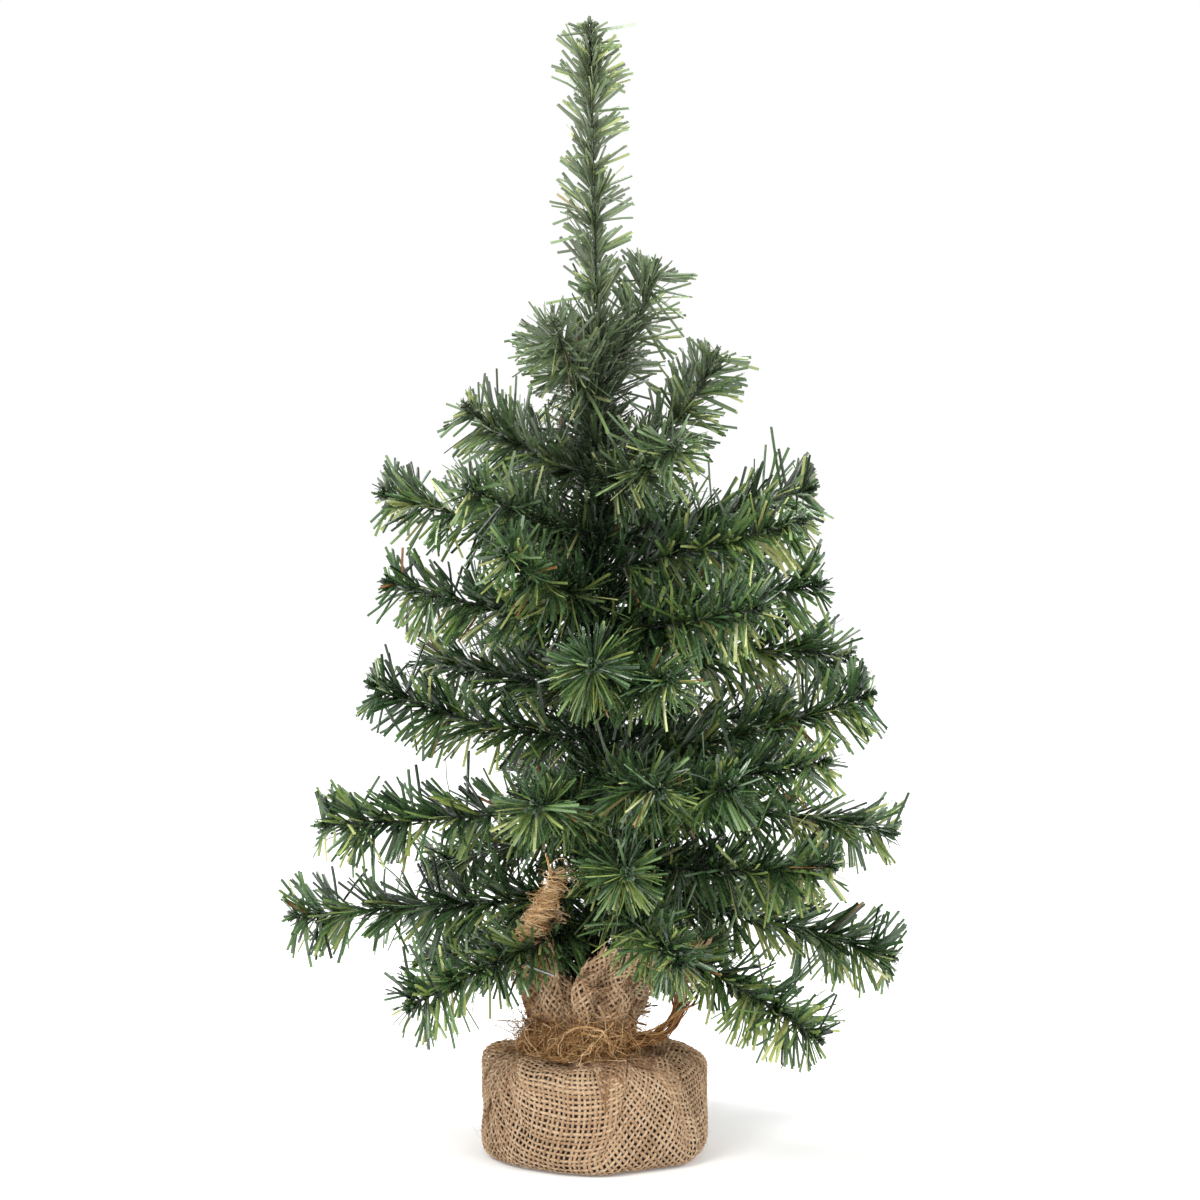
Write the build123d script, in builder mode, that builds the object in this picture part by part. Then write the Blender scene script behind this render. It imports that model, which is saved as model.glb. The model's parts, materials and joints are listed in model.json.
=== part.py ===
from build123d import *
import math
import os

# A 60 cm artificial tabletop tree: a cement puck wrapped in a square of burlap, a steel pole cast
# into it, and PVC-needle branches on twisted wire that bend up and down where they leave the pole.
# Millimetres, +Z up, origin at the centre of the face it rests on. Azimuth 0 is +X, and the front
# is -Y, azimuth -90.

# Driving dimensions
TREE_HEIGHT = 600.0

PUCK_RADIUS = 57.5            # cement weight
PUCK_BOTTOM = 2.3
PUCK_TOP = 52.0
PUCK_EDGE = 8.0

POLE_RADIUS = 2.5             # steel trunk pole
POLE_BOTTOM = 12.0
POLE_TOP = 448.0
POLE_CHAMFER = 0.5

BRANCH_WIRE_RADIUS = 0.8      # twisted pair of wires, as one round wire
NEEDLE_CORE_RADIUS = 4.5      # the packed inner part of the needles, which doesn't flex
NEEDLE_CORE_START = 14.0      # bare wire between the pole and the needles
BRANCH_RUNS = 3               # a branch is bent by hand into short straight runs
CORE_SIDES = 8                # needle cores, wires and eyes are many-sided bars
WIRE_SIDES = 6
EYE_SIDES = 12
ROOT_EYE_RADIUS = 1.5         # the eye of the branch wire, on its bending point
ROOT_EYE_WIDTH = 2.4
ROOT_EYE_CENTRE = 5.2         # distance of the eye from the pole's axis

BINDING_WIRE = 0.9            # soft wire that ties the branch roots to the pole
BINDING_GROOVE = 0.3          # depth of the groove between two of its turns
BINDING_MARGIN = 2.5          # binding above and below the roots of its tier

LEADER_JOINT = 452.0          # bending point of the tip
LEADER_EYE_RADIUS = 2.2
LEADER_LEAN = 1.5             # degrees, towards -X
LEADER_CORE_START = 6.0       # bare wire between the eye and the needles

GARLAND_RADIUS = 7.0          # needle garland round the pole
GARLAND_ROUND = 1.2
GARLAND_SPANS = [(74, 112), (230, 246), (340, 352), (374, 398), (418, 444)]

WRAP_RADIUS = 60.0            # burlap round the puck
WRAP_CLEARANCE = 0.3          # between the burlap and the puck
WRAP_BOTTOM_EDGE = 9.0
WRAP_SIDE_TOP = 46.0
WRAP_CREST = (57.4, 53.6)     # middle of the rounded edge over the puck
WRAP_SHOULDER = (50.0, 57.0)
WRAP_GATHER = (29.0, 59.0)    # foot of the neck, where the cloth starts to bunch
WRAP_NECK_RADIUS = 23.0
WRAP_NECK = (64.0, 71.0)      # lowest and highest point of the tied neck
WRAP_MOUTH = (36.0, 97.0)     # rim of the flared cloth above the tie
WRAP_MOUTH_WALL = 2.0
WRAP_CUP_FLOOR = 66.0         # bunched cloth closes the neck up to here
WRAP_CUP_RADIUS = 20.0
WRAP_CUP_FLOOR_RADIUS = 16.0

TWINE_RADIUS = 1.3            # jute twine, two turns
TWINE_GAP = 0.1

# Branches by tier, from the top: height of the root, azimuth, rise at the root, turn along the
# branch (upwards is positive) and length, in millimetres and degrees.
BRANCHES = [
    # first tier, round the foot of the tip
    (412, 30, 54, 20, 70),
    (405, -115, 30, 25, 64),
    (408, 125, 30, 10, 56),
    (404, 80, 28, 10, 58),
    # second tier
    (364, -170, 20, 20, 75),
    (366, -10, 25, 45, 88),
    (358, -60, 13, 14, 84),
    (368, 95, 20, 10, 76),
    (362, 132, 15, 10, 78),
    # third tier
    (330, 175, 8, 8, 112),
    (334, -140, 12, 15, 88),
    (328, 6, 12, 5, 114),
    (314, -25, 13, 5, 116),
    (324, 70, 8, 8, 104),
    (326, 115, 8, 8, 104),
    # fourth tier
    (290, -175, 2, 16, 108),
    (298, -120, 13, 15, 96),
    (286, -14, 14, -5, 118),
    (280, -45, 10, 3, 114),
    (296, 42, 10, 5, 112),
    (292, 105, 8, 5, 112),
    # fifth tier
    (258, 0, 18, -28, 131),
    (265, -91, 4, 5, 116),
    (253, -72, 7, 3, 116),
    (250, 152, 2, 8, 100),
    (260, 65, 6, 3, 124),
    (257, 116, 3, 4, 120),
    # sixth tier
    (225, -178, 2, 24, 119),
    (222, 32, 3, 5, 120),
    (210, -8, 10, 12, 146),
    (224, 90, 2, 5, 130),
    # seventh tier
    (188, -170, -5, 5, 142),
    (190, -104, 6, 4, 128),
    (204, -76, 4, 3, 128),
    (186, -58, 12, 2, 128),
    (194, -30, 10, 4, 134),
    (186, 7, 2, -16, 157),
    (172, 145, -12, -5, 112),
    (188, 60, -2, 3, 142),
    (190, 105, -2, 3, 142),
    # eighth tier
    (138, 176, -3, -3, 160),
    (162, -83, 4, 3, 124),
    (142, -71, -5, -4, 126),
    (158, -25, -3, 12, 130),
    (142, -3, -7, -12, 157),
    (150, 40, -5, -5, 145),
    (152, 85, -5, -5, 148),
    # lowest tier
    (118, 150, -10, -8, 109),
    (124, -142, -10, -8, 122),
    (126, -38, -12, -12, 147),
    (122, 62, -10, -8, 140),
    (123, 110, -10, -8, 138),
]
TIER_SIZES = [4, 5, 6, 6, 6, 4, 9, 7, 5]


def write(shape, label):
    shape.label = label
    export_step(shape, f"parts/{label}.step")


def tier_spans():
    """Lowest and highest branch root of each tier."""
    spans = []
    first = 0
    for size in TIER_SIZES:
        heights = [row[0] for row in BRANCHES[first:first + size]]
        spans.append((min(heights), max(heights)))
        first += size
    return spans


def branch_plane(azimuth):
    """The upright plane that holds a branch: local x runs outwards, local y runs up."""
    turn = math.radians(azimuth)
    outwards = (math.cos(turn), math.sin(turn), 0)
    across = (math.sin(turn), -math.cos(turn), 0)
    return Plane(origin=(0, 0, 0), x_dir=outwards, z_dir=across)


def make_base_weight():
    with BuildPart() as weight:
        with BuildSketch(Plane.XY.offset(PUCK_BOTTOM)):
            Circle(PUCK_RADIUS)
        extrude(amount=PUCK_TOP - PUCK_BOTTOM)
        fillet(weight.edges().filter_by(GeomType.CIRCLE), PUCK_EDGE)
        with BuildSketch(Plane.XY.offset(POLE_BOTTOM)):
            Circle(POLE_RADIUS)
        extrude(amount=PUCK_TOP, mode=Mode.SUBTRACT)
    return weight.part


def make_trunk_pole():
    with BuildPart() as pole:
        with BuildSketch(Plane.XY.offset(POLE_BOTTOM)):
            Circle(POLE_RADIUS)
        extrude(amount=POLE_TOP - POLE_BOTTOM)
        chamfer(pole.faces().sort_by(Axis.Z)[-1].edges(), POLE_CHAMFER)
    return pole.part


def make_root_bindings():
    """One close-wound coil of soft wire for each tier of branches."""
    with BuildPart() as bindings:
        for low, high in tier_spans():
            bottom = low - BINDING_MARGIN
            turns = round((high - low + 2 * BINDING_MARGIN) / BINDING_WIRE)
            outer = POLE_RADIUS + BINDING_WIRE
            groove = outer - BINDING_GROOVE
            with BuildSketch(Plane.XZ):
                with BuildLine():
                    Line((POLE_RADIUS, bottom), (groove, bottom))
                    for turn in range(turns):
                        start = bottom + turn * BINDING_WIRE
                        ThreePointArc(
                            (groove, start),
                            (outer, start + BINDING_WIRE / 2),
                            (groove, start + BINDING_WIRE),
                        )
                    top = bottom + turns * BINDING_WIRE
                    Line((groove, top), (POLE_RADIUS, top))
                    Line((POLE_RADIUS, top), (POLE_RADIUS, bottom))
                make_face()
            revolve(axis=Axis.Z)
    return bindings.part


def make_trunk_garland():
    """The packed needles on the pole, in the stretches that no branch leaves from."""
    with BuildPart() as garland:
        for low, high in GARLAND_SPANS:
            with BuildSketch(Plane.XY.offset(low)):
                Circle(GARLAND_RADIUS)
                Circle(POLE_RADIUS, mode=Mode.SUBTRACT)
            extrude(amount=high - low)
        outer_edges = garland.edges().filter_by(GeomType.CIRCLE).group_by(SortBy.RADIUS)[-1]
        fillet(outer_edges, GARLAND_ROUND)
    return garland.part


def make_burlap_wrap():
    """A closed skin round the puck, bunched at the neck and flared open above it."""
    inner_radius = PUCK_RADIUS + WRAP_CLEARANCE
    inner_bottom = PUCK_BOTTOM - WRAP_CLEARANCE
    inner_top = PUCK_TOP + WRAP_CLEARANCE
    edge = PUCK_EDGE
    slope = edge * math.sqrt(0.5)
    neck_low, neck_high = WRAP_NECK
    mouth_radius, mouth_top = WRAP_MOUTH
    with BuildPart() as wrap:
        with BuildSketch(Plane.XZ):
            with BuildLine():
                Line((0, 0), (WRAP_RADIUS - WRAP_BOTTOM_EDGE, 0))
                RadiusArc(
                    (WRAP_RADIUS - WRAP_BOTTOM_EDGE, 0),
                    (WRAP_RADIUS, WRAP_BOTTOM_EDGE),
                    -WRAP_BOTTOM_EDGE,
                )
                Line((WRAP_RADIUS, WRAP_BOTTOM_EDGE), (WRAP_RADIUS, WRAP_SIDE_TOP))
                ThreePointArc((WRAP_RADIUS, WRAP_SIDE_TOP), WRAP_CREST, WRAP_SHOULDER)
                Line(WRAP_SHOULDER, WRAP_GATHER)
                Line(WRAP_GATHER, (WRAP_NECK_RADIUS, neck_low))
                Line((WRAP_NECK_RADIUS, neck_low), (WRAP_NECK_RADIUS, neck_high))
                Line((WRAP_NECK_RADIUS, neck_high), (mouth_radius, mouth_top))
                Line((mouth_radius, mouth_top), (mouth_radius - WRAP_MOUTH_WALL, mouth_top))
                Line((mouth_radius - WRAP_MOUTH_WALL, mouth_top), (WRAP_CUP_RADIUS, neck_high))
                Line((WRAP_CUP_RADIUS, neck_high), (WRAP_CUP_FLOOR_RADIUS, WRAP_CUP_FLOOR))
                Line((WRAP_CUP_FLOOR_RADIUS, WRAP_CUP_FLOOR), (POLE_RADIUS, WRAP_CUP_FLOOR))
                Line((POLE_RADIUS, WRAP_CUP_FLOOR), (POLE_RADIUS, inner_top))
                Line((POLE_RADIUS, inner_top), (inner_radius - edge, inner_top))
                ThreePointArc(
                    (inner_radius - edge, inner_top),
                    (inner_radius - edge + slope, inner_top - edge + slope),
                    (inner_radius, inner_top - edge),
                )
                Line((inner_radius, inner_top - edge), (inner_radius, inner_bottom + edge))
                ThreePointArc(
                    (inner_radius, inner_bottom + edge),
                    (inner_radius - edge + slope, inner_bottom + edge - slope),
                    (inner_radius - edge, inner_bottom),
                )
                Line((inner_radius - edge, inner_bottom), (0, inner_bottom))
                Line((0, inner_bottom), (0, 0))
            make_face()
        revolve(axis=Axis.Z)
    return wrap.part


def make_neck_tie():
    """Two turns of twine round the neck."""
    ring_radius = WRAP_NECK_RADIUS + TWINE_RADIUS + TWINE_GAP
    low = sum(WRAP_NECK) / 2 - TWINE_RADIUS
    with BuildPart() as tie:
        for turn in range(2):
            with Locations((0, 0, low + turn * (2 * TWINE_RADIUS + TWINE_GAP))):
                Torus(ring_radius, TWINE_RADIUS)
    return tie.part


def branch_points(height, rise, turn, length):
    """Ends of the branch's straight runs, outwards and up, from the root eye to the tip."""
    run = length / BRANCH_RUNS
    outwards, up = ROOT_EYE_CENTRE, height
    points = [(outwards, up)]
    for number in range(BRANCH_RUNS):
        slope = math.radians(rise + turn * (number + 0.5) / BRANCH_RUNS)
        outwards += run * math.cos(slope)
        up += run * math.sin(slope)
        points.append((outwards, up))
    return points


def make_branch(height, azimuth, rise, turn, length):
    """Twisted wire with its root eye and the packed core of its needles, as one solid."""
    points = branch_points(height, rise, turn, length)
    across = branch_plane(azimuth).z_dir
    with BuildPart() as branch:
        with BuildLine(branch_plane(azimuth)) as route:
            Polyline(*points)
        root, outwards = route.line @ 0, route.line % 0
        with BuildLine(branch_plane(azimuth)) as core:
            first = route.edges().sort_by_distance(root)[0]
            start = branch_plane(azimuth).to_local_coords(first @ (NEEDLE_CORE_START / first.length))
            Polyline((start.X, start.Y), *points[1:])
        with BuildSketch(Plane(origin=core.line @ 0, x_dir=across, z_dir=outwards)):
            RegularPolygon(NEEDLE_CORE_RADIUS, CORE_SIDES)
        sweep(path=core.line, transition=Transition.RIGHT)
        with BuildSketch(Plane(origin=root, x_dir=across, z_dir=outwards)):
            RegularPolygon(BRANCH_WIRE_RADIUS, WIRE_SIDES)
        extrude(amount=NEEDLE_CORE_START + BRANCH_WIRE_RADIUS)
        with BuildSketch(Plane(origin=root, x_dir=outwards, z_dir=across)):
            RegularPolygon(ROOT_EYE_RADIUS, EYE_SIDES)
        extrude(amount=ROOT_EYE_WIDTH / 2, both=True)
    return branch.part


def make_leader():
    """The upright tip: an eye over the pole's end, its wire and the core of its needles."""
    lean = math.radians(LEADER_LEAN)
    along = Vector(-math.sin(lean), 0, math.cos(lean))
    joint = Vector(0, 0, LEADER_JOINT)
    length = (TREE_HEIGHT - LEADER_JOINT) / math.cos(lean)
    core_start = joint + along * LEADER_CORE_START
    with BuildPart() as leader:
        with BuildSketch(Plane(origin=core_start, z_dir=along)):
            RegularPolygon(NEEDLE_CORE_RADIUS, CORE_SIDES)
        extrude(amount=length - LEADER_CORE_START)
        with BuildSketch(Plane(origin=joint, z_dir=along)):
            RegularPolygon(BRANCH_WIRE_RADIUS, WIRE_SIDES)
        extrude(amount=LEADER_CORE_START + BRANCH_WIRE_RADIUS)
        with BuildSketch(Plane(origin=joint, x_dir=along, z_dir=(0, 1, 0))):
            RegularPolygon(LEADER_EYE_RADIUS, EYE_SIDES)
        extrude(amount=ROOT_EYE_WIDTH / 2, both=True)
    return leader.part


os.makedirs("parts", exist_ok=True)
write(make_base_weight(), "base_weight")
write(make_trunk_pole(), "trunk_pole")
write(make_root_bindings(), "root_bindings")
write(make_trunk_garland(), "trunk_garland")
write(make_burlap_wrap(), "burlap_wrap")
write(make_neck_tie(), "neck_tie")
write(make_leader(), "leader")
for number, row in enumerate(BRANCHES, start=1):
    write(make_branch(*row), f"branch_{number:02d}")
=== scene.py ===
import json
import math

import bpy
import numpy as np
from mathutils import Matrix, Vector


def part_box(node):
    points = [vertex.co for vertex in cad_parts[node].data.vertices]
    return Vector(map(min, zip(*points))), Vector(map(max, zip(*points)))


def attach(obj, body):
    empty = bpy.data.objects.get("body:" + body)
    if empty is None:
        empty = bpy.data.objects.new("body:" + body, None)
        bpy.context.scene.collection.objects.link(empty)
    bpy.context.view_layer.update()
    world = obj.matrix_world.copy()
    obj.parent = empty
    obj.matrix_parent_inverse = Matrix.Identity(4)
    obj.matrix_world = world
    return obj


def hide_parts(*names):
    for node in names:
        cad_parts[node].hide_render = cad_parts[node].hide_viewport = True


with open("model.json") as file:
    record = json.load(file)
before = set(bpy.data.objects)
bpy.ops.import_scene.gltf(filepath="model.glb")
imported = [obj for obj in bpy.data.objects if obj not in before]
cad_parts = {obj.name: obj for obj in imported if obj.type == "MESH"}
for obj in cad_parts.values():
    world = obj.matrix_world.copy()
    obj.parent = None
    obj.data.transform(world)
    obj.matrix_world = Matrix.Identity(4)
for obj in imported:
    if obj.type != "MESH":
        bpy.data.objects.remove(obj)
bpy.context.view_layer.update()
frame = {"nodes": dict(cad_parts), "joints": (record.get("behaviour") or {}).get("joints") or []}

# Sizes in metres, in the row frame: +Z up, the front is -Y.
STRIP_WIDTH = 0.00155         # one PVC needle is a flat cut strip
STRIP_RIDGE = 0.00032         # height of the crease along its middle
STRIP_STATIONS = (0.0, 0.35, 0.7, 1.0)
NEEDLE_LENGTH = 0.0262
NEEDLES_PER_METRE = 3300
NEEDLES_IN_BUNCH = 6
GOLDEN_ANGLE = 2.39996        # radians from one bunch to the next, round the wire
NEEDLE_START = 0.005          # bare wire at a branch's root
WIRE_STRAND = 0.00048         # radius of one strand of the twisted wire
WIRE_LAY = 0.0055             # one turn of the twist
UP = np.array((0.0, 0.0, 1.0))
# Painted shade darkens needles near the pole and below the tip; painted backlight pales them
# towards grey-green near the top
SHADE_RADII, SHADE_BELOW, DEEPEST_SHADE = (0.025, 0.085), 0.45, 0.38
BACKLIGHT_HEIGHTS, BACKLIGHT_MOST = (0.33, 0.50), 0.29

CLOTH_SIDE = 0.36             # the burlap is one square
CLOTH_YARNS = 121             # yarns each way, so the weave's pitch is 3 mm
CLOTH_TURN = -110             # azimuth of one of its yarn directions
CLOTH_THICKNESS = 0.0011
LAYER_GAP = 0.0021
FLOOR_GAP = 0.0010            # the lowest yarns' middle
BASE_RADIUS = 0.060
WRAP_WIDEST = 0.0618
SHOULDER_TOP = 0.0575
NECK_RADIUS = 0.0250
NECK_CENTRE = np.array((-0.006, -0.002, 0.0))
KNOT_AZIMUTH = math.radians(-128)
SETTLE_STEPS = 360
# Zones of the flat cloth, by the distance from its middle
UNDER_RADIUS = 0.048          # lies under the weight and doesn't move
TOP_RADIUS = 0.138            # up to the shoulder's inner edge
NECK_BAND = (0.146, 0.159)    # drawn in by the tie
CORNER_STEPS = 20             # grid steps from a corner that the gathering leaves alone
LOOSE_NECK = 0.034            # the neck's radius before the tie is pulled
NECK_HEIGHTS = (0.061, 0.069)
LOW_ROOT, STEM_REACH, STEM_GAP = 0.15, 0.06, 0.009  # the low branches, which the cloth clears
GRID_CELLS = 4096             # more than the cloth is across, in cells of a layer's gap
YARN_WIDTH = 0.00168
YARN_THICKNESS = 0.00085
YARN_LIFT = 0.00036           # how far a yarn goes over and under the others
FRAYED_YARNS = 2              # lost from each edge
# Pleats: azimuth, width in degrees, depth, and which edge is the upper one
PLEATS = [(-86, 6, 3.2, 1), (-38, 7, 2.8, -1), (-166, 6, 2.6, 1), (22, 7, 2.6, 1), (70, 6, 2.6, -1),
          (122, 7, 2.6, 1)]
# Grid points that are held, and where: three of the corners are tucked between the branches, the
# first of them folded to a cone that stands up at the front. The fourth corner is free, behind.
CORNER_TIPS = [((-1, 0), (-0.0185, -0.036, 0.158)), ((-10, 9), (-0.0225, -0.037, 0.121)),
               ((-1, 11), (-0.014, -0.031, 0.127)), ((-12, 0), (-0.032, -0.031, 0.127)),
               ((-1, -1), (0.076, -0.034, 0.128)), ((-10, -10), (0.050, -0.038, 0.104)),
               ((0, -1), (0.060, 0.002, 0.118)), ((9, -10), (0.047, -0.006, 0.088))]
CLOTH_SHIFT = (0.0094, 0.0034)  # the square lies off centre, further out at the front


def unit(v):
    return v / np.maximum(np.linalg.norm(v, axis=-1, keepdims=True), 1e-12)


def distances(line):
    """How far along a line each of its points is."""
    steps = np.linalg.norm(np.diff(line, axis=0), axis=1)
    return np.concatenate([[0], np.cumsum(steps)])


def level_ways(azimuth):
    """Level directions at these azimuths."""
    return np.stack([np.cos(azimuth), np.sin(azimuth), np.zeros(len(azimuth))], axis=1)


def node_points(name):
    mesh = frame["nodes"][name].data
    co = np.zeros(len(mesh.vertices) * 3, np.float32)
    mesh.vertices.foreach_get("co", co)
    return co.reshape(-1, 3).astype(float)


def new_mesh(name, points, loops, sizes, material, smooth=False):
    """A mesh object from its points, its faces' corners in a row, and each face's corner count."""
    mesh = bpy.data.meshes.new(name)
    mesh.vertices.add(len(points))
    mesh.vertices.foreach_set("co", np.asarray(points, np.float32).ravel())
    mesh.loops.add(len(loops))
    mesh.loops.foreach_set("vertex_index", np.asarray(loops, np.int32))
    sizes = np.asarray(sizes, np.int32)
    mesh.polygons.add(len(sizes))
    starts = np.concatenate([[0], np.cumsum(sizes)[:-1]])
    mesh.polygons.foreach_set("loop_start", starts.astype(np.int32))
    mesh.polygons.foreach_set("loop_total", sizes)
    mesh.polygons.foreach_set("use_smooth", np.full(len(sizes), smooth))
    mesh.update(calc_edges=True)
    mesh.materials.append(material)
    obj = bpy.data.objects.new(name, mesh)
    bpy.context.scene.collection.objects.link(obj)
    return obj


def give(obj, name, kind, domain, values):
    attribute = obj.data.attributes.new(name, kind, domain)
    attribute.data.foreach_set("value", np.asarray(values, np.float32).ravel())


# -------------------- node materials

class Nodes:
    """A short way to write a node material."""

    def __init__(self, name):
        self.material = bpy.data.materials.new(name)
        self.material.use_nodes = True
        self.tree = self.material.node_tree
        self.shader = self.tree.nodes["Principled BSDF"]

    def add(self, kind, **settings):
        node = self.tree.nodes.new(kind)
        for key, value in settings.items():
            setattr(node, key, value)
        return node

    def join(self, source, target):
        self.tree.links.new(source, target)

    def feed(self, socket, source):
        """Joins an output to one of the shader's sockets, or sets the socket to a value."""
        if isinstance(source, bpy.types.NodeSocket):
            self.join(source, self.shader.inputs[socket])
        else:
            self.shader.inputs[socket].default_value = source

    def attribute(self, name):
        return self.add("ShaderNodeAttribute", attribute_name=name).outputs["Fac"]

    def noise(self, scale, detail=2.0, stretch=None):
        node = self.add("ShaderNodeTexNoise")
        node.inputs["Scale"].default_value = scale
        node.inputs["Detail"].default_value = detail
        place = self.add("ShaderNodeTexCoord").outputs["Object"]
        if stretch:
            mapping = self.add("ShaderNodeMapping")
            mapping.inputs["Scale"].default_value = stretch
            self.join(place, mapping.inputs["Vector"])
            place = mapping.outputs["Vector"]
        self.join(place, node.inputs["Vector"])
        return node.outputs["Fac"]

    def math(self, operation, a, b):
        node = self.add("ShaderNodeMath", operation=operation)
        for socket, value in zip(node.inputs, (a, b)):
            if isinstance(value, (int, float)):
                socket.default_value = value
            else:
                self.join(value, socket)
        return node.outputs[0]

    def plus(self, base, factor, amount):
        return self.math("ADD", base, self.math("MULTIPLY", factor, amount))

    def ramp(self, factor, stops):
        node = self.add("ShaderNodeValToRGB")
        band = node.color_ramp
        while len(band.elements) < len(stops):
            band.elements.new(0.5)
        for element, (position, colour) in zip(band.elements, stops):
            element.position = position
            element.color = (*colour, 1.0)
        self.join(factor, node.inputs["Fac"])
        return node.outputs["Color"]

    def mix(self, factor, a, b, blend="MIX"):
        node = self.add("ShaderNodeMix", data_type="RGBA", blend_type=blend)
        for socket, value in ((node.inputs[0], factor), (node.inputs[6], a), (node.inputs[7], b)):
            if isinstance(value, tuple):
                socket.default_value = (*value, 1.0)
            elif isinstance(value, (int, float)):
                socket.default_value = value
            else:
                self.join(value, socket)
        return node.outputs[2]

    def bump(self, height, distance, strength=1.0):
        node = self.add("ShaderNodeBump")
        node.inputs["Strength"].default_value = strength
        node.inputs["Distance"].default_value = distance
        self.join(height, node.inputs["Height"])
        self.feed("Normal", node.outputs["Normal"])


def needle_material():
    """Green PVC: each strip has its own tone, with painted shade towards the wire and deep in the
    tree, painted backlight near the top, and fine streaks.
    """
    m = Nodes("needle_pvc")
    tone = m.attribute("tone")
    along = m.attribute("along")
    streak = m.noise(900.0, 3.0)
    tone = m.plus(tone, m.math("SUBTRACT", streak, 0.5), 0.16)
    colour = m.ramp(m.math("MULTIPLY", tone, 0.86), [
        (0.00, (0.006, 0.014, 0.005)),
        (0.20, (0.023, 0.054, 0.019)),
        (0.40, (0.058, 0.126, 0.043)),
        (0.56, (0.122, 0.214, 0.056)),
        (0.70, (0.265, 0.330, 0.078)),
        (0.84, (0.460, 0.500, 0.185)),
        (0.92, (0.450, 0.425, 0.160)),
        (0.97, (0.260, 0.120, 0.035)),
    ])
    # Painted shade: each strip is darker towards its root at the wire, inside the brush
    shade = m.ramp(along, [
        (0.0, (0.30, 0.32, 0.24)),
        (0.35, (0.85, 0.85, 0.85)),
        (1.0, (1.0, 1.0, 1.0)),
    ])
    colour = m.mix(1.0, colour, shade, "MULTIPLY")
    # Painted shade deep in the tree (depth), then painted backlight near the top (mixed towards a
    # pale grey-green)
    colour = m.mix(m.attribute("depth"), colour, (0.004, 0.007, 0.003))
    colour = m.mix(m.attribute("painted_backlight"), colour, (0.350, 0.400, 0.250))
    m.feed("Base Color", colour)
    m.feed("Roughness", m.plus(0.18, streak, 0.18))
    m.feed("Specular IOR Level", 0.75)
    m.bump(m.noise(2600.0, 2.0), 0.0001, 0.35)
    return m.material


def wire_material():
    """Dark green lacquer on steel wire, with specks of rust."""
    m = Nodes("twisted_wire")
    grain = m.noise(1500.0, 4.0)
    colour = m.ramp(grain, [
        (0.3, (0.010, 0.020, 0.012)),
        (0.6, (0.035, 0.045, 0.030)),
        (0.85, (0.16, 0.09, 0.035)),
    ])
    m.feed("Base Color", colour)
    m.feed("Roughness", m.plus(0.3, grain, 0.3))
    m.feed("Metallic", 0.6)
    m.bump(grain, 0.0002, 0.4)
    return m.material


def burlap_material():
    """Jute yarn: each one its own tan, with painted shade on its faces turned to the weight, and
    darker and lighter fibres twisted along it.
    """
    m = Nodes("burlap_jute")
    tone = m.attribute("tone")
    blotch = m.noise(28.0, 3.0)
    fibre = m.noise(1400.0, 4.0, stretch=(1.0, 1.0, 0.6))
    value = m.plus(m.math("MULTIPLY", tone, 0.34), fibre, 0.5)
    value = m.plus(value, blotch, 0.28)
    colour = m.ramp(value, [
        (0.16, (0.080, 0.034, 0.010)),
        (0.40, (0.270, 0.150, 0.070)),
        (0.60, (0.455, 0.303, 0.178)),
        (0.85, (0.640, 0.475, 0.315)),
    ])
    m.feed("Base Color", colour)
    m.feed("Roughness", m.plus(0.78, fibre, 0.2))
    m.feed("Specular IOR Level", 0.25)
    m.feed("Sheen Weight", 0.15)
    m.bump(m.noise(2600.0, 3.0), 0.0003, 0.7)
    return m.material


def frayed_material():
    """Loose jute fibres, more golden than the yarns."""
    m = Nodes("frayed_jute")
    value = m.plus(m.math("MULTIPLY", m.attribute("tone"), 0.7), m.noise(300.0, 3.0), 0.4)
    colour = m.ramp(value, [
        (0.15, (0.075, 0.028, 0.006)),
        (0.45, (0.270, 0.125, 0.038)),
        (0.70, (0.530, 0.310, 0.125)),
        (0.95, (0.820, 0.600, 0.350)),
    ])
    m.feed("Base Color", colour)
    m.feed("Roughness", 0.62)
    m.feed("Specular IOR Level", 0.3)
    m.bump(m.noise(3000.0, 2.0), 0.0001, 0.5)
    return m.material


def cement_material():
    # Painted shade: the weight is coloured a very dark brown, for the shade inside the wrap that
    # shows through the weave
    m = Nodes("cement")
    grain = m.noise(420.0, 6.0)
    colour = m.ramp(grain, [
        (0.3, (0.016, 0.011, 0.006)),
        (0.6, (0.045, 0.034, 0.022)),
        (0.8, (0.10, 0.085, 0.065)),
    ])
    m.feed("Base Color", colour)
    m.feed("Roughness", 0.9)
    m.bump(grain, 0.0006, 0.8)
    return m.material


def paint(node, material):
    mesh = frame["nodes"][node].data
    mesh.materials.clear()
    mesh.materials.append(material)


# -------------------- needles and wires

def tube_faces(rows, count, corners):
    """The faces' corners, and how many each has, of closed tubes of count rings each."""
    corner = np.arange(corners)
    after = (corner + 1) % corners
    start = np.arange(count - 1)[:, None] * corners
    following = start + corners
    quads = [start + corner, start + after, following + after, following + corner]
    first = np.arange(rows)[:, None] * count * corners
    quads = (first + np.stack(quads, axis=2).reshape(1, -1)).reshape(-1)
    caps = np.concatenate([corner[::-1], (count - 1) * corners + corner])
    caps = (first + caps[None]).reshape(-1)
    sizes = np.concatenate([np.full(rows * (count - 1) * corners, 4), np.full(rows * 2, corners)])
    return np.concatenate([quads, caps]), sizes


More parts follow.
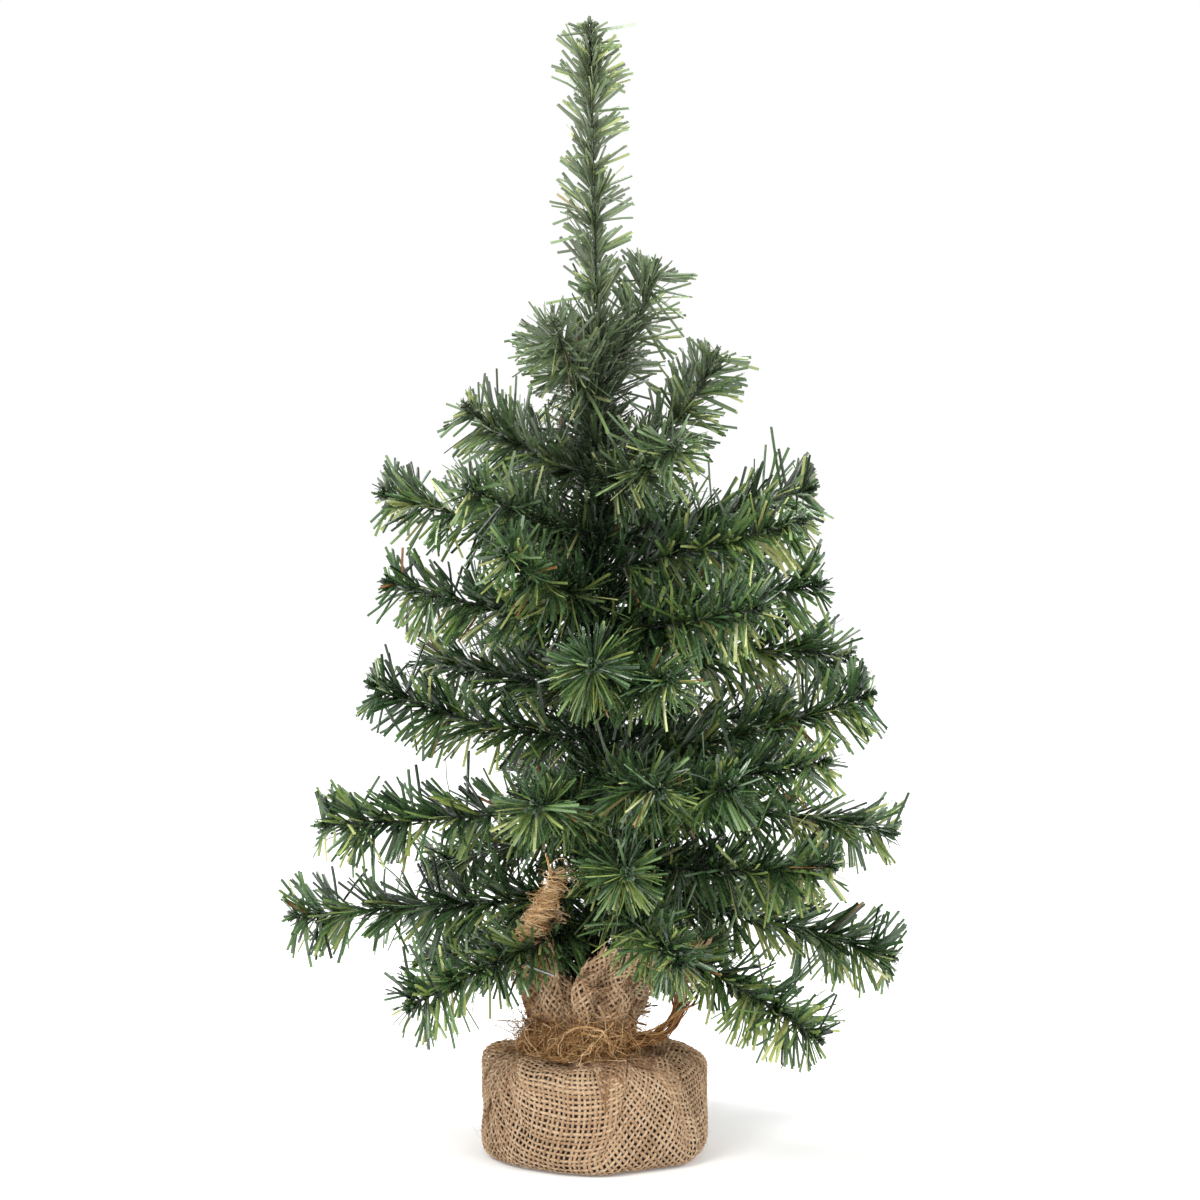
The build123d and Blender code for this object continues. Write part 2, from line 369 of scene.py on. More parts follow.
def strips(roots, directions, sides, lengths, widths, curls):
    """Needles, as thin closed strips with a crease along the middle."""
    normals = unit(np.cross(directions, sides))
    stations = np.array(STRIP_STATIONS)
    middle = (roots[:, None] + directions[:, None] * (lengths[:, None] * stations)[..., None]
              + normals[:, None] * (curls[:, None] * lengths[:, None] * stations ** 2)[..., None])
    half = widths[:, None] / 2 * np.interp(stations, (0, 0.35, 1), (0.75, 1.0, 0.95))
    left = middle - sides[:, None] * half[..., None]
    right = middle + sides[:, None] * half[..., None]
    ridge = middle + normals[:, None] * STRIP_RIDGE
    points = np.stack([left, right, ridge], axis=2).reshape(-1, 3)
    return points, *tube_faces(len(roots), len(stations), 3)


def many_tubes(lines, wide, thick, corners):
    """Closed tubes along rows of points. wide and thick are the two half axes of each section."""
    rows, count = lines.shape[:2]
    angle = np.arange(corners) * 2 * math.pi / corners
    ring = (lines[:, :, None] + wide[:, :, None] * np.cos(angle)[:, None]
            + thick[:, :, None] * np.sin(angle)[:, None])
    return ring.reshape(-1, 3), *tube_faces(rows, count, corners)


def tube(line, radius, sides=6):
    """A closed tube along a line of points."""
    tangent = unit(np.gradient(line, axis=0))
    start = np.cross(tangent[0], UP)
    if np.linalg.norm(start) < 0.1:
        start = np.cross(tangent[0], (1.0, 0.0, 0.0))
    normals = [start / np.linalg.norm(start)]
    for t in tangent[1:]:
        n = normals[-1] - t * (normals[-1] @ t)
        normals.append(n / np.linalg.norm(n))
    normals = np.array(normals)
    others = np.cross(tangent, normals)
    return many_tubes(line[None], normals[None] * radius, others[None] * radius, sides)


def join_parts(parts):
    """Several (points, loops, sizes) as one."""
    points, loops, sizes, first = [], [], [], 0
    for p, l, s in parts:
        points.append(p)
        loops.append(l + first)
        sizes.append(s)
        first += len(p)
    return np.concatenate(points), np.concatenate(loops), np.concatenate(sizes)


class Stem:
    """The smooth line of a branch's wire, in its upright plane."""

    def __init__(self, root, outwards, points):
        self.root = np.array(root, float)
        rel = points - self.root
        flat = np.stack([rel @ outwards, rel @ UP], axis=1)
        reach = np.linalg.norm(flat, axis=1)
        tip = flat[reach > reach.max() - 0.004].mean(axis=0)
        chord = tip / np.linalg.norm(tip)
        across = np.array((-chord[1], chord[0]))
        s, t = flat @ chord, flat @ across
        reach = tip @ chord
        core = (s > 0.3 * reach) & (s < 0.9 * reach)
        bow = s[core] * (s[core] - reach)
        fit = np.sum(t[core] * bow) / np.sum(bow ** 2) if core.any() else 0.0
        along = np.linspace(0, reach, 200)
        flat = along[:, None] * chord + (fit * along * (along - reach))[:, None] * across
        self.line = self.root + flat[:, :1] * outwards + flat[:, 1:] * UP
        self.at = distances(self.line)
        self.length = self.at[-1]
        self.across = np.cross(UP, outwards)

    def point(self, distance):
        return np.stack([np.interp(distance, self.at, self.line[:, k]) for k in range(3)], axis=-1)

    def tangent(self, distance):
        return unit(self.point(distance + 0.001) - self.point(distance - 0.001))

    def around(self, distance):
        """The wire's direction at each distance, and the two ways square to it."""
        tangent = self.tangent(distance)
        level = np.broadcast_to(self.across, tangent.shape)
        level = unit(level - tangent * (tangent @ self.across)[:, None])
        return tangent, level, np.cross(tangent, level)


def lean_out(tangent, level, upper, phi, lean):
    """Each needle's way out of the wire, and the way that it points."""
    radial = level * np.cos(phi)[:, None] + upper * np.sin(phi)[:, None]
    return radial, unit(tangent * np.cos(lean)[:, None] + radial * np.sin(lean)[:, None])


def along_wire(direction, tangent):
    """The way each strip is wide: along the wire that clamps it, with its creased face upwards."""
    side = unit(tangent - direction * np.einsum("ij,ij->i", direction, tangent)[:, None])
    return side * np.where(np.cross(direction, side)[:, 2] < 0, -1.0, 1.0)[:, None]


def twisted(side, direction, angle):
    """The strips' sides, turned about the way that they point."""
    return side * np.cos(angle)[:, None] + np.cross(direction, side) * np.sin(angle)[:, None]


def brush(stem, rng, start, per_metre=NEEDLES_PER_METRE, length=NEEDLE_LENGTH, spare=0.003,
          fair=0.11):
    """Needles all round a stem, in bunches, leaning towards its tip. spare is how far they may
    pass the tip, and fair is the share of pale ones."""
    total = int((stem.length - start) * per_metre)
    bunches = max(4, int(total / NEEDLES_IN_BUNCH))
    order = np.arange(bunches)
    spot = start + (stem.length - start) * (order + rng.uniform(-1.5, 1.5, bunches)) / bunches
    turn = order * GOLDEN_ANGLE + rng.normal(0, 0.5, bunches)
    lean = rng.normal(55, 11, bunches)
    size = rng.uniform(0.86, 1.06, bunches)
    shade = rng.normal(0.0, 0.12, bunches)
    which = rng.integers(0, bunches, total)
    distance = np.clip(spot[which] + rng.normal(0, 0.0011, total), start, stem.length - 0.0012)
    phi = turn[which] + rng.normal(0, 0.25, total)
    lean = lean[which] + rng.normal(0, 7, total)
    length = length * size[which] * rng.normal(1.0, 0.07, total)
    left = stem.length - distance
    near = np.clip(1 - left / 0.020, 0, 1)
    lean = lean + 12 * near - 10 * np.sin(phi)
    length = length * (1 - 0.25 * near)
    stray = rng.random(total) < 0.07
    lean = np.where(stray, lean + rng.uniform(15, 60, total), lean)
    length = np.where(stray, length * rng.uniform(1.0, 1.35, total), length)
    lean = np.radians(np.clip(lean, 14, 125))
    room = (left + spare) / np.maximum(np.cos(lean), 0.05)
    length = np.where(np.cos(lean) > 0.05, np.minimum(length, np.maximum(room, 0.005)), length)
    tangent, level, upper = stem.around(distance)
    radial, direction = lean_out(tangent, level, upper, phi, lean)
    side = twisted(along_wire(direction, tangent), direction, rng.normal(0, 0.50, total))
    root = stem.point(distance) + radial * 0.0004
    width = STRIP_WIDTH * rng.uniform(0.82, 1.18, total)
    curl = rng.normal(-0.03, 0.14, total)
    # Painted light and shade: strips that point down get a paler, yellower tone, strips that point
    # up a darker one
    tone = 0.42 + shade[which] + rng.normal(0, 0.15, total) - 0.14 * direction[:, 2]
    tone = np.where(rng.random(total) < fair, tone + 0.33, tone)
    tone = np.where(rng.random(total) < 0.003, 1.15, np.clip(tone, 0, 1))
    return [root, direction, side, length, width, curl, tone]


def inner_needles(stem, rng, start, per_metre=1100):
    """The crushed needles that lie along the wire and hide it."""
    total = int((stem.length - start) * per_metre)
    distance = rng.uniform(start, stem.length - 0.003, total)
    phi = rng.uniform(0, 2 * math.pi, total)
    lean = np.radians(rng.uniform(16, 60, total))
    tangent, level, upper = stem.around(distance)
    radial, direction = lean_out(tangent, level, upper, phi, lean)
    side = along_wire(direction, tangent)
    length = np.minimum(rng.uniform(0.006, 0.013, total), stem.length - distance + 0.002)
    width = STRIP_WIDTH * rng.uniform(0.85, 1.2, total)
    tone = np.clip(rng.normal(0.30, 0.17, total), 0, 1)
    root = stem.point(distance) + radial * 0.0009
    return [root, direction, side, length, width, rng.normal(0.05, 0.12, total), tone]


def bud(stem, rng):
    """The blunt tip: short trimmed needles that hide the end of the wire."""
    count = 46
    distance = stem.length - rng.uniform(0.0, 0.005, count)
    phi = rng.uniform(0, 2 * math.pi, count)
    lean = np.radians(rng.uniform(5, 75, count))
    tangent = stem.tangent(np.full(count, stem.length - 0.002))
    level = np.broadcast_to(stem.across, tangent.shape)
    radial, direction = lean_out(tangent, level, np.cross(tangent, level), phi, lean)
    side = unit(np.cross(direction, tangent + 0.01 * radial))
    length = rng.uniform(0.0025, 0.0055, count)
    width = STRIP_WIDTH * rng.uniform(0.9, 1.3, count)
    return [stem.point(distance), direction, side, length, width, rng.normal(0, 0.2, count),
            np.clip(rng.normal(0.22, 0.14, count), 0, 1)]


def needles(name, groups, material):
    """One piece of needles, with the attributes that its material reads."""
    joined = [np.concatenate(values) for values in zip(*groups)]
    roots, directions, sides, lengths, widths, curls, tones = joined
    points, loops, sizes = strips(roots, directions, sides, lengths, widths, curls)
    obj = new_mesh(name, points, loops, sizes, material)
    # Painted light, in part: the flat underside face of each strip gets a paler tone, for the PVC's
    # paler back and for light through the strip from below
    under = np.zeros((len(tones), 3 * (len(STRIP_STATIONS) - 1)), bool)
    under[:, 0::3] = True
    scatter = np.sin(np.arange(len(tones)) * 12.9898)   # as good as random
    light = np.where(scatter > 0.2, 0.14, 0.03)
    face_tone = np.where(under, tones[:, None] + light[:, None], tones[:, None])
    caps = np.repeat(tones, 2)
    give(obj, "tone", "FLOAT", "FACE", np.concatenate([face_tone.ravel(), caps]))
    # Painted shade near the pole and below the tip, and painted backlight near the top, as point
    # attributes
    rho = np.hypot(points[:, 0], points[:, 1])
    height = points[:, 2]
    depth = np.interp(rho, SHADE_RADII, (DEEPEST_SHADE, 0.0)) * (height < SHADE_BELOW)
    give(obj, "depth", "FLOAT", "POINT", depth)
    give(obj, "painted_backlight", "FLOAT", "POINT", np.interp(height, BACKLIGHT_HEIGHTS, (0.0, BACKLIGHT_MOST)))
    along = np.tile(np.repeat(np.array(STRIP_STATIONS), 3), len(tones))
    share = np.repeat(np.clip(lengths / NEEDLE_LENGTH, 0.25, 1.2), 3 * len(STRIP_STATIONS))
    give(obj, "along", "FLOAT", "POINT", along * share)
    return obj


def twisted_wire(stem):
    """The two strands of a branch's wire."""
    distance = np.arange(0.0, stem.length, WIRE_LAY / 6)
    centre = stem.point(distance)
    level, upper = stem.around(distance)[1:]
    parts = []
    for strand in range(2):
        angle = distance / WIRE_LAY * 2 * math.pi + strand * math.pi
        offset = level * np.cos(angle)[:, None] + upper * np.sin(angle)[:, None]
        parts.append(tube(centre + offset * WIRE_STRAND, WIRE_STRAND, 5))
    return parts


def root_eye(root, outwards):
    """The wire's loop round its bending point, and its tail towards the pole."""
    turn = np.linspace(0, 2.6 * math.pi, 26)
    axis = np.cross(UP, outwards)
    line = (root + 0.0011 * (np.cos(turn)[:, None] * outwards + np.sin(turn)[:, None] * UP)
            + np.linspace(-0.0007, 0.0007, len(turn))[:, None] * axis)
    return tube(line, WIRE_STRAND * 0.8, 5)


def place_branch(name, stem, outwards, groups, needle, wire):
    """The needles and the wire of a branch or the leader, on its own body."""
    foliage = needles(f"{name}_needles", groups, needle)
    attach(foliage, name)
    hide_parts(name)
    parts = twisted_wire(stem) + [root_eye(stem.root, outwards)]
    strand = new_mesh(f"{name}_wire", *join_parts(parts), wire, smooth=True)
    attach(strand, name)


def make_branch(joint, number, needle, wire):
    name = joint["child"]
    rng = np.random.default_rng(1000 + number)
    axis = np.array(joint["axis"], float)
    outwards = unit(np.array((-axis[1], axis[0], 0.0)))
    stem = Stem(joint["pos_m"], outwards, node_points(name))
    groups = [brush(stem, rng, NEEDLE_START), inner_needles(stem, rng, NEEDLE_START),
              bud(stem, rng)]
    place_branch(name, stem, outwards, groups, needle, wire)


def make_leader(joint, needle, wire):
    """The upright tip, whose needles are shorter and paler than a branch's."""
    rng = np.random.default_rng(77)
    outwards = np.array((1.0, 0.0, 0.0))
    stem = Stem(joint["pos_m"], outwards, node_points("leader"))
    groups = [brush(stem, rng, 0.0, per_metre=2150, length=0.0225, spare=0.001, fair=0.26),
              inner_needles(stem, rng, 0.0, per_metre=3000), bud(stem, rng)]
    place_branch("leader", stem, outwards, groups, needle, wire)


def make_garland(needle):
    """Needles round the pole between the tiers."""
    rng = np.random.default_rng(5)
    low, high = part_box("trunk_garland")
    count = int((high.z - low.z) * 7500)
    height = rng.uniform(low.z + 0.004, high.z, count)
    phi = rng.uniform(0, 2 * math.pi, count)
    rise = np.radians(rng.normal(35, 16, count))
    radial = level_ways(phi)
    direction = unit(radial * np.cos(rise)[:, None] + UP * np.sin(rise)[:, None])
    side = twisted(unit(np.cross(direction, UP)), direction, rng.normal(0, 0.6, count))
    root = radial * 0.0031 + height[:, None] * UP
    length = rng.uniform(0.010, 0.028, count)
    tone = np.clip(rng.normal(0.28, 0.16, count), 0, 1)
    width, curl = np.full(count, STRIP_WIDTH), rng.normal(0, 0.1, count)
    group = [root, direction, side, length, width, curl, tone]
    garland = needles("trunk_garland_needles", [group], needle)
    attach(garland, "base")
    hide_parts("trunk_garland")


# -------------------- burlap

def wrap_shape(distance):
    """Radius and height of the wrapped cloth at a distance from its middle, before it settles."""
    corner = np.radians(np.linspace(-90, 0, 8))
    shoulder = np.radians(np.linspace(0, 80, 7))
    rim = BASE_RADIUS - 0.0005
    radius = np.concatenate([
        [0.0], rim - 0.009 + 0.009 * np.cos(corner), rim - 0.010 + 0.010 * np.cos(shoulder),
        [0.038, 0.031, 0.028, NECK_RADIUS, 0.030, 0.036, 0.044, 0.050]])
    height = np.concatenate([
        [FLOOR_GAP], 0.009 + FLOOR_GAP + 0.009 * np.sin(corner), 0.044 + 0.010 * np.sin(shoulder),
        [0.0565, 0.059, 0.063, 0.067, 0.080, 0.096, 0.125, 0.160]])
    at = np.concatenate([[0], np.cumsum(np.hypot(np.diff(radius), np.diff(height)))])
    return np.interp(distance, at, radius), np.interp(distance, at, height)


def pull(a, b, stiffness, least, most):
    """Moves two views of the cloth's points until their distances are from least to most."""
    d = b - a
    length = np.sqrt(np.einsum("...k,...k->...", d, d)) + 1e-12
    move = d * (0.5 * stiffness * (length - np.clip(length, least, most)) / length)[..., None]
    a += move
    b -= move


def pull_rows(p, step, stiffness, least, most):
    for q in (p, p.swapaxes(0, 1)):
        for phase in range(2 * step):
            a = q[phase:len(q) - step:2 * step]
            b = q[phase + step::2 * step][:len(a)]
            pull(a[:len(b)], b, stiffness, least, most)


def pull_diagonals(p, stiffness, least, most):
    for q in (p, p[:, ::-1]):
        for phase in (0, 1):
            a, b = q[phase:-1:2, :-1], q[phase + 1::2, 1:]
            count = min(len(a), len(b))
            pull(a[:count], b[:count], stiffness, least, most)


def clear_of_puck(p):
    """Moves the cloth's points out of the cement weight."""
    low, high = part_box("base_weight")
    edge = 0.008
    middle, half = (low.z + high.z) / 2, (high.z - low.z) / 2
    rho = np.hypot(p[..., 0], p[..., 1]) + 1e-12
    across = rho - (high.x - edge)
    beyond = np.abs(p[..., 2] - middle) - (half - edge)
    corner = np.hypot(np.maximum(across, 0), np.maximum(beyond, 0))
    inside = CLOTH_THICKNESS - (corner + np.minimum(np.maximum(across, beyond), 0) - edge)
    push = np.maximum(inside, 0)
    rounded = (across > 0) & (beyond > 0)
    out = np.where(rounded, np.maximum(across, 0) / np.maximum(corner, 1e-9), across >= beyond)
    up = np.where(rounded, np.maximum(beyond, 0) / np.maximum(corner, 1e-9), across < beyond)
    p[..., :2] *= (1 + push * out / rho)[..., None]
    p[..., 2] += push * up * np.sign(p[..., 2] - middle)


def clear_of_stem(p, start, end, gap):
    """Moves points that are near a straight stem away from it."""
    d = end - start
    t = np.clip((p - start) @ d / (d @ d), 0, 1)
    away = p - start - t[..., None] * d
    length = np.linalg.norm(away, axis=-1) + 1e-9
    near = length < gap
    p[near] += away[near] * ((gap - length[near]) / length[near])[:, None]


def keep_layers_apart(p):
    """Pushes apart points of the cloth that aren't neighbours in it."""
    flat = p.reshape(-1, 3)
    total, across = len(flat), p.shape[1]
    cell = np.floor((flat + 1.0) / LAYER_GAP).astype(np.int64)
    key = (cell[:, 0] * GRID_CELLS + cell[:, 1]) * GRID_CELLS + cell[:, 2]
    order = np.argsort(key, kind="stable")
    ranked = key[order]
    index = np.arange(total)
    pairs = []
    steps = (-1, 0, 1)
    cells = ((i * GRID_CELLS + j) * GRID_CELLS + k for i in steps for j in steps for k in steps)
    for offset in cells:
        if offset < 0:
            continue
        first = np.searchsorted(ranked, key + offset, "left")
        count = np.searchsorted(ranked, key + offset, "right") - first
        a = np.repeat(index, count)
        place = np.arange(len(a)) - np.repeat(np.cumsum(count) - count, count)
        b = order[np.repeat(first, count) + place]
        far = (np.abs(a // across - b // across) > 2) | (np.abs(a % across - b % across) > 2)
        if offset == 0:
            far &= a < b
        pairs.append(np.stack([a[far], b[far]]))
    a, b = np.concatenate(pairs, axis=1)
    d = flat[b] - flat[a]
    length = np.sqrt((d * d).sum(1)) + 1e-9
    close = length < LAYER_GAP
    a, b, d, length = a[close], b[close], d[close], length[close]
    move = d * (0.5 * (LAYER_GAP - length) / length)[:, None]
    met = np.bincount(a, minlength=total) + np.bincount(b, minlength=total)
    for k in range(3):
        change = np.bincount(b, move[:, k], total) - np.bincount(a, move[:, k], total)
        flat[:, k] += 0.9 * change / np.maximum(met, 1)


def draw_in(p, chosen, limit, share):
    """Gathers the chosen points within a radius of the neck's middle."""
    away = p[chosen, :2] - NECK_CENTRE[:2]
    excess = np.maximum(1 - limit / (np.hypot(away[:, 0], away[:, 1]) + 1e-9), 0)
    p[chosen, :2] -= away * (share * excess)[:, None]


def level_rows(p, r):
    """Evens out the heights of the weave on the upright side, where the cloth is drawn tight."""
    share = 0.5 * np.clip((r - 0.060) / 0.006, 0, 1) * np.clip((0.116 - r) / 0.010, 0, 1)
    for _ in range(45):
        z = p[..., 2]
        mean = (z[2:, 1:-1] + z[:-2, 1:-1] + z[1:-1, 2:] + z[1:-1, :-2]) / 4
        z[1:-1, 1:-1] += share[1:-1, 1:-1] * (mean - z[1:-1, 1:-1])


def folded_start(r, phi, rng):
    """The flat cloth drawn up round the weight, with the first turn of each pleat."""
    rho, height = wrap_shape(r)
    loose = np.clip((r - 0.060) / 0.045, 0, 1)
    wave = sum(size * np.cos(number * phi + start) for number, size, start in zip(
        rng.integers(5, 16, 9), rng.uniform(0.3, 0.9, 9), rng.uniform(0, 7, 9)))
    rho = rho + 0.0006 * loose * np.abs(wave)
    turned = phi.copy()
    for azimuth, width, depth, way in PLEATS:
        away = (phi - math.radians(azimuth) + math.pi) % (2 * math.pi) - math.pi
        x = away / math.radians(width)
        turned -= loose * depth * math.radians(width) * x * np.exp(-x * x / 2)
        rho = rho + loose * 0.0016 * (1 - way * np.tanh(1.5 * x)) * np.exp(-x * x / 5)
    p = np.stack([rho * np.cos(turned), rho * np.sin(turned), height], axis=-1)
    return p + rng.normal(0, 0.0003, p.shape) * loose[..., None]


def settle_cloth(stems):
    """Draws the square of burlap up round the weight and ties it at the neck. The cloth hardly
    stretches, shears until its yarns lock, and keeps out of the weight, the floor and itself."""
    rng = np.random.default_rng(4)
    line = np.linspace(-0.5, 0.5, CLOTH_YARNS) * CLOTH_SIDE
    u, v = np.meshgrid(line, line, indexing="ij")
    pitch = CLOTH_SIDE / (CLOTH_YARNS - 1)
    from_middle = u + CLOTH_SHIFT[0], v + CLOTH_SHIFT[1]
    r = np.hypot(*from_middle)
    phi = np.arctan2(from_middle[1], from_middle[0]) + math.radians(CLOTH_TURN)
    p = folded_start(r, phi, rng)
    under = r < UNDER_RADIUS
    lying = p[under].copy()
    neck = (r > NECK_BAND[0]) & (r < NECK_BAND[1])
    row, column = np.indices(r.shape)
    end = CLOTH_YARNS - 1
    to_corner = np.minimum(row, end - row) + np.minimum(column, end - column)
    above = (r > NECK_BAND[1]) & (to_corner > CORNER_STEPS)
    top = r < TOP_RADIUS
    last = p.copy()
    steps = SETTLE_STEPS
    for step in range(steps):
        move = np.clip((p - last) * 0.9, -0.0015, 0.0015) if step < 0.85 * steps else 0
        last = p.copy()
        p += move
        p[..., 2] -= 0.00001 * (~under)
        for _ in range(4):
            pull_rows(p, 1, 1.0, pitch, pitch)
            pull_diagonals(p, 0.8, pitch * 1.02, pitch * 1.75)
            pull_diagonals(p, 0.03, pitch * 1.38, pitch * 1.45)
            pull_rows(p, 2, 0.4, 1.45 * pitch, 2 * pitch)
            pull_rows(p, 4, 0.05, 3.8 * pitch, 4 * pitch)
        if step % 2 == 0:
            keep_layers_apart(p)
        tied = LOOSE_NECK + (NECK_RADIUS - LOOSE_NECK) * min(1.0, step / (0.4 * steps))
        draw_in(p, neck, tied, 1.0)
        draw_in(p, above, tied + 0.004 + 0.22 * (r[above] - NECK_BAND[1]), 0.4)
        p[neck, 2] += 0.15 * (np.clip(p[neck, 2], *NECK_HEIGHTS) - p[neck, 2])
        if step > 0.3 * steps:
            for corner, place in CORNER_TIPS:
                p[corner] += 0.35 * (np.array(place) - p[corner])
        for start, tip in stems:
            clear_of_stem(p, start, tip, STEM_GAP)
        clear_of_puck(p)
        p[..., 2] = np.maximum(p[..., 2], FLOOR_GAP)
        rho = np.hypot(p[..., 0], p[..., 1]) + 1e-9
        wide = (rho > WRAP_WIDEST) & (p[..., 2] < 0.068)
        p[wide, :2] *= (1 - 0.5 * (1 - WRAP_WIDEST / rho[wide]))[:, None]
        high = top & (p[..., 2] > SHOULDER_TOP)
        p[high, 2] -= 0.5 * (p[high, 2] - SHOULDER_TOP)
        p[under] = lying
    level_rows(p, r)
    for _ in range(3):
        inner = p[1:-1, 1:-1]
        inner += 0.4 * ((p[2:, 1:-1] + p[:-2, 1:-1] + p[1:-1, 2:] + p[1:-1, :-2]) / 4 - inner)
    clear_of_puck(p)
    p[..., 2] = np.maximum(p[..., 2], FLOOR_GAP)
    return p


def between(lines):
    """The lines with a point added in the middle of each span, on a smooth curve."""
    before = 2 * lines[:, :1] - lines[:, 1:2]
    after = 2 * lines[:, -1:] - lines[:, -2:-1]
    ends = np.concatenate([before, lines, after], axis=1)
    middle = (9 * (ends[:, 1:-2] + ends[:, 2:-1]) - ends[:, :-3] - ends[:, 3:]) / 16
    result = np.empty((len(lines), 2 * lines.shape[1] - 1, 3))
    result[:, 0::2], result[:, 1::2] = lines, middle
    return result


def waver(rng, at, rows, slow, fast):
    """A slow wave along each row, with a frequency from slow to fast."""
    return np.sin(at * rng.uniform(slow, fast, (rows, 1)) + rng.uniform(0, 7, (rows, 1)))


def yarn_set(p, normals, way, rng):
    """All the yarns of one direction, as closed tubes with slubs, and the tone of each face, darker
    on the faces turned to the weight as painted shade.
    """
    rows, count = p.shape[:2]
    over = np.where(np.add.outer(np.arange(rows), np.arange(count)) % 2 == 0, way, -way)
    lines = between(p + normals * (over * YARN_LIFT)[..., None])
    normals = unit(between(normals))
    tangents = unit(np.gradient(lines, axis=1))
    sides = unit(np.cross(normals, tangents))
    normals = np.cross(tangents, sides)
    count = lines.shape[1]
    at = np.arange(count) / 2.0
    wander = sum(rng.uniform(0.3, 1.0, (rows, 1)) * waver(rng, at, rows, 0.05, 0.5)
                 for _ in range(3))
    lines = lines + sides * (0.00016 * wander + rng.normal(0, 0.00018, (rows, 1)))[..., None]
    loose = np.linspace(0.0020, 0, 6)[None, :, None]
    lines[:, :6] += rng.normal(0, 1, (rows, 1, 3)) * loose
    lines[:, -6:] += rng.normal(0, 1, (rows, 1, 3)) * loose[:, ::-1]
    slub = 1 + 0.10 * rng.normal(0, 1, (rows, 1)) + 0.10 * waver(rng, at, rows, 0.2, 0.9)
    slub = np.clip(slub + rng.normal(0, 0.06, (rows, count)), 0.65, 1.4)[..., None]
    slub[:, :3] *= rng.uniform(0.3, 1, (rows, 1, 1))
    slub[:, -3:] *= rng.uniform(0.3, 1, (rows, 1, 1))
    wide, thick = sides * slub * YARN_WIDTH / 2, normals * slub * YARN_THICKNESS / 2
    points, loops, sizes = many_tubes(lines, wide, thick, 4)
    tones = rng.uniform(0.25, 0.9, rows)
    # Painted shade: the faces turned to the weight get a darker tone
    inner = np.tile([0.55, 0.55, 0.0, 0.0], rows * (count - 1))   # the faces turned to the weight
    tones = np.concatenate([np.repeat(tones, (count - 1) * 4) - inner, np.repeat(tones, 2)])
    return points, loops, sizes, tones


def curly(starts, directions, lengths, count, curl, rng, centre=None, hold=0.0):
    """Lines of fibres that wander from their starting direction, and may be drawn to a centre."""
    lines = [starts]
    heading = directions
    for _ in range(count - 1):
        heading = heading + rng.normal(0, curl, starts.shape)
        if centre is not None:
            heading = heading + hold * unit(centre - lines[-1])
        heading = unit(heading)
        lines.append(lines[-1] + heading * (lengths / (count - 1))[:, None])
    return np.stack(lines, axis=1)


def fibres(name, lines, radius, tones, material):
    """Thin jute fibres along the lines."""
    tangents = unit(np.gradient(lines, axis=1))
    wide = unit(np.cross(tangents, np.array((0.31, 0.52, 0.79))))
    thick = np.cross(tangents, wide)
    taper = np.interp(np.linspace(0, 1, lines.shape[1]), (0, 0.7, 1), (1, 0.9, 0.45))
    size = (radius[:, None] * taper)[..., None]
    points, loops, sizes = many_tubes(lines, wide * size, thick * size, 3)
    obj = new_mesh(name, points, loops, sizes, material, smooth=True)
    steps = (lines.shape[1] - 1) * 3
    face_tones = np.concatenate([np.repeat(tones, steps), np.repeat(tones, 2)])
    give(obj, "tone", "FLOAT", "FACE", face_tones)
    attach(obj, "base")
    return obj


def make_fuzz(p, normals, material):
    """Loose hairs that stand off the cloth, most of them near its neck."""
    rng = np.random.default_rng(21)
    flat, faces_out = p.reshape(-1, 3), -normals.reshape(-1, 3)
    rho = np.hypot(flat[:, 0], flat[:, 1])
    weight = np.interp(flat[:, 2], (0.050, 0.062), (0.16, 1.0))
    weight = weight * (rho > 0.02) * (flat[:, 2] > 0.004)
    chosen = rng.choice(len(flat), 2600, p=weight / weight.sum())
    starts = flat[chosen] + faces_out[chosen] * rng.uniform(0, 0.0006, (len(chosen), 1))
    away = np.where(rng.random((len(chosen), 1)) < 0.5, 1.0, -1.0) * faces_out[chosen]
    directions = unit(rng.normal(0, 1, starts.shape) + 0.5 * away)
    lengths = rng.uniform(0.003, 0.010, len(chosen))
    lines = curly(starts, directions, lengths, 5, 0.45, rng)
    lines[..., 2] = np.maximum(lines[..., 2], 0.0004)
    radius = rng.uniform(0.00004, 0.00009, len(chosen))
    return fibres("burlap_fuzz", lines, radius, rng.uniform(0.2, 1.0, len(chosen)), material)


def make_tangle(material):
    """The frayed ends of twine and cloth that hide the tie at the front of the neck."""
    rng = np.random.default_rng(22)
    count = 1150
    azimuth = np.radians(rng.uniform(-165, -48, count))
    rho = NECK_RADIUS + rng.uniform(0.002, 0.0115, count)
    height = 0.066 + 0.0085 * rng.normal(0, 0.75, count)
    out = level_ways(azimuth)
    starts = NECK_CENTRE + out * rho[:, None] + height[:, None] * UP
    around = np.cross(UP, out) * np.where(rng.random(count) < 0.5, 1, -1)[:, None]
    directions = unit(around + 0.8 * rng.normal(0, 1, starts.shape) + 0.2 * out)
    centre = NECK_CENTRE + out * (NECK_RADIUS + 0.006) + 0.066 * UP
    lines = curly(starts, directions, rng.uniform(0.014, 0.046, count), 13, 0.36, rng, centre, 0.22)
    lines[..., 2] = np.maximum(lines[..., 2], 0.0592)
    radius = 0.00007 + 0.00026 * rng.random(count) ** 2
    return fibres("neck_tangle", lines, radius, rng.uniform(0.0, 1.0, count), material)


